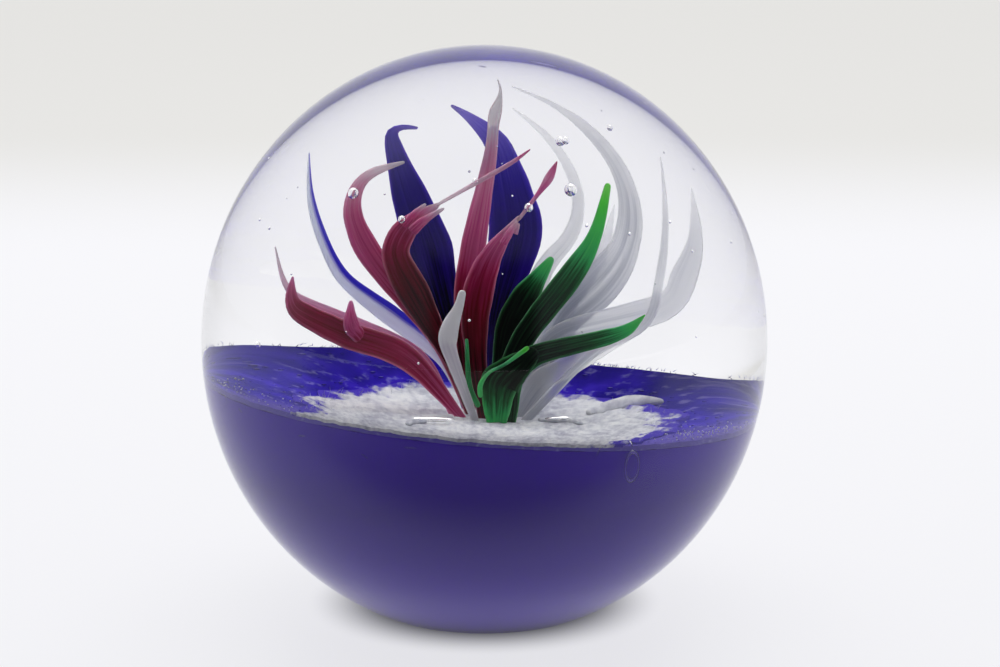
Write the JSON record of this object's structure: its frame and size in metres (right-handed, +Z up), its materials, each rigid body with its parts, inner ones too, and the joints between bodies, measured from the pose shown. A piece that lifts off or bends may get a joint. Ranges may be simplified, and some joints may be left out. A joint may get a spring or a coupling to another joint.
{
  "type": "glass paperweight",
  "caption": "Round solid glass paperweight: a clear casing over a cobalt body, with a bouquet of coloured glass petals rising from a white frit bed.",
  "frame": {"origin": "centre of the flat ground foot, on the surface it rests on", "axes": "+Z up along the body's axis, the front that is looked at towards -Y, +X to the viewer's right"},
  "size_m": [0.08, 0.08, 0.08],
  "materials": {
    "clear_crystal": "clear fire-polished crystal",
    "cobalt_glass": "deep cobalt glass",
    "cobalt_frit": "fused cobalt frit",
    "white_frit": "fused white frit",
    "cranberry_glass": "cranberry glass with pale edges",
    "cobalt_petal_glass": "cobalt petal glass",
    "green_glass": "emerald green glass",
    "opal_glass": "white opal glass"
  },
  "bodies": {
    "root": {"clear_casing": "clear_crystal", "cobalt_body": "cobalt_glass", "cobalt_frit_ground": "cobalt_frit", "white_frit_bed": "white_frit", "cranberry_petal_long": "cranberry_glass", "cranberry_tendril": "cranberry_glass", "cranberry_petal_hook": "cranberry_glass", "cranberry_petal_folded": "cranberry_glass", "cranberry_petal_tall": "cranberry_glass", "cranberry_petal_front": "cranberry_glass", "cobalt_petal_left": "cobalt_petal_glass", "cobalt_petal_right": "cobalt_petal_glass", "cobalt_edged_petal": "cobalt_petal_glass", "green_petal_bright": "green_glass", "green_petal_low": "green_glass", "green_petal_back": "green_glass", "green_petal_stem": "green_glass", "opal_petal_front": "opal_glass", "opal_petal_arc": "opal_glass", "opal_petal_large": "opal_glass", "opal_petal_blade": "opal_glass", "opal_petal_right": "opal_glass", "opal_petal_low": "opal_glass", "opal_petal_inner": "opal_glass"}
  },
  "joints": []
}
